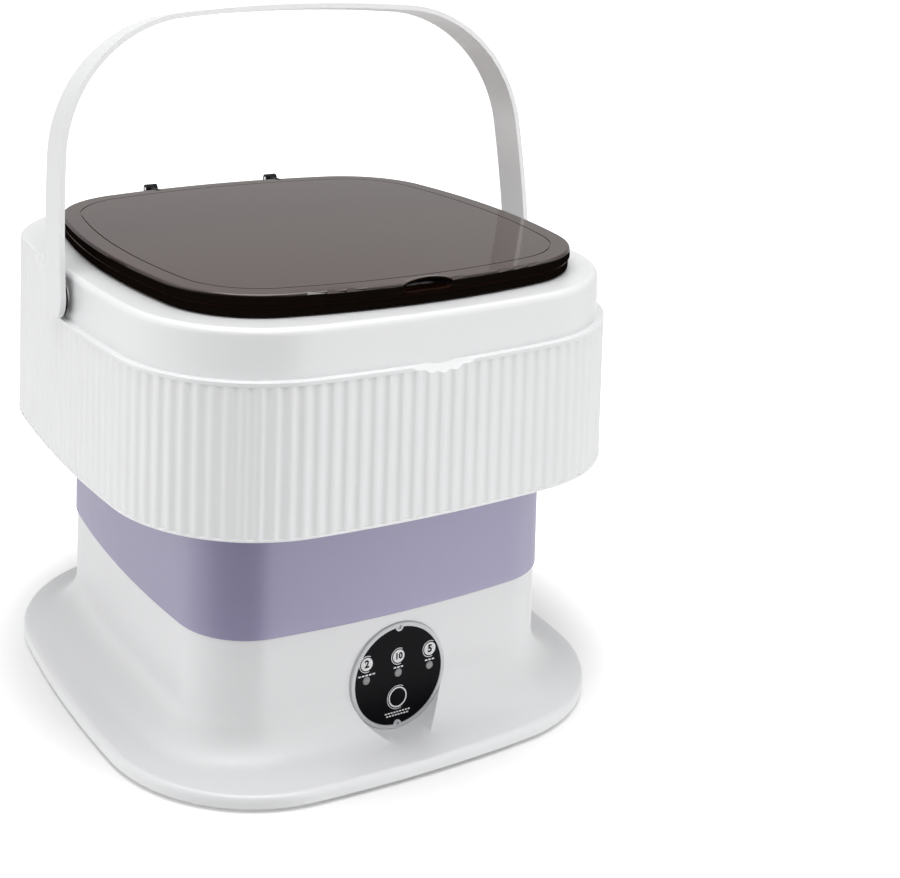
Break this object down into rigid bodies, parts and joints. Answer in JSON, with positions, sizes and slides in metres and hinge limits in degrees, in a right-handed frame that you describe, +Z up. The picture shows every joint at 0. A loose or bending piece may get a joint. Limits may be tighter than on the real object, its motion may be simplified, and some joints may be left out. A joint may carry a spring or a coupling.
{
  "type": "portable mini washer",
  "caption": "Folding portable washing machine: flared white base, soft lavender tub wall, ribbed raised housing, smoked lid, carrying handle and spin basket.",
  "frame": {"origin": "centre of the footprint on the ground, under the drive shaft", "axes": "+Z up, -Y to the control panel, +Y to the lid hinge, +X to the right seen from the front"},
  "size_m": [0.3278, 0.3256, 0.4117],
  "materials": {
    "body_white": "satin white ABS",
    "inner_white": "matte white PP",
    "basket_white": "matte white PP",
    "sleeve_lavender": "soft lavender TPE",
    "black_rubber": "matte rubber",
    "steel": "zinc plated",
    "motor_can": "satin",
    "gear_nylon": "natural nylon",
    "cast_aluminium": "as machined",
    "circuit_green": "solder resist",
    "bezel_grey": "satin light grey",
    "label_black": "gloss black",
    "lens_clear": "diffused",
    "wire_black": "PVC",
    "lid_smoke": "gloss smoked brown",
    "hinge_black": "satin black"
  },
  "bodies": {
    "base": {"base_shell": "body_white", "base_cover": "inner_white", "rubber_feet": "black_rubber", "cover_screws": "steel", "lower_tub": "inner_white", "tub_sleeve": "sleeve_lavender", "motor_housing": "motor_can", "motor_bracket": "steel", "bracket_screws": "steel", "motor_screws": "steel", "bearing_housing": "cast_aluminium", "shaft_bearings": "steel", "shaft_seal": "black_rubber", "control_board": "circuit_green", "board_screws": "steel", "panel_bezel": "bezel_grey", "panel_label": "label_black", "led_lenses": "lens_clear", "power_inlet": "hinge_black", "drain_spout": "inner_white", "wiring_harness": "wire_black"},
    "drive": {"drive_gear": "gear_nylon", "drive_shaft": "steel", "impeller": "inner_white", "impeller_screw": "steel"},
    "basket": {"drain_basket": "basket_white"},
    "motor_rotor": {"motor_shaft": "steel", "drive_pinion": "steel"},
    "switch": {"switch_button": "label_black"},
    "plug": {"drain_plug": "black_rubber"},
    "upper_housing": {"housing_shell": "body_white", "inner_liner": "inner_white", "liner_screws": "steel", "clamp_band": "steel", "hinge_brackets": "hinge_black", "hinge_pins": "steel"},
    "lid": {"lid_cover": "lid_smoke", "lid_tray": "lid_smoke", "lid_seal": "black_rubber", "lid_hinge_arms": "hinge_black"},
    "handle": {"handle_band": "body_white", "handle_washers": "hinge_black", "handle_clips": "steel"}
  },
  "joints": [
    {"name": "fold", "type": "slide", "parent": "base", "child": "upper_housing", "axis": [0, 0, 1], "range_m": [-0.139, 0], "deforming": ["tub_sleeve"]},
    {"name": "lid_hinge", "type": "hinge", "parent": "upper_housing", "child": "lid", "pos_m": [0, 0.1405, 0.2726], "axis": [-1, 0, 0], "range_deg": [0, 35]},
    {"name": "handle_pivot", "type": "hinge", "parent": "upper_housing", "child": "handle", "pos_m": [0, 0, 0.247], "axis": [1, 0, 0], "range_deg": [0, 97.75]},
    {"name": "drive_spin", "type": "hinge", "parent": "base", "child": "drive", "pos_m": [0, 0, 0.04], "axis": [0, 0, 1], "continuous": true},
    {"name": "motor_spin", "type": "hinge", "parent": "base", "child": "motor_rotor", "pos_m": [0, 0.05375, 0.028], "axis": [0, 0, 1], "continuous": true},
    {"name": "basket_lift", "type": "slide", "parent": "drive", "child": "basket", "axis": [0, 0, 1], "range_m": [0, 0.12]},
    {"name": "button_press", "type": "slide", "parent": "base", "child": "switch", "axis": [0, 1, 0], "range_m": [0, 0.0007]},
    {"name": "plug_pull", "type": "slide", "parent": "base", "child": "plug", "axis": [0, 1, 0], "range_m": [0, 0.0105]}
  ],
  "couplings": [
    {"joint": "motor_spin", "follows": "drive_spin", "ratio": -4.375}
  ]
}
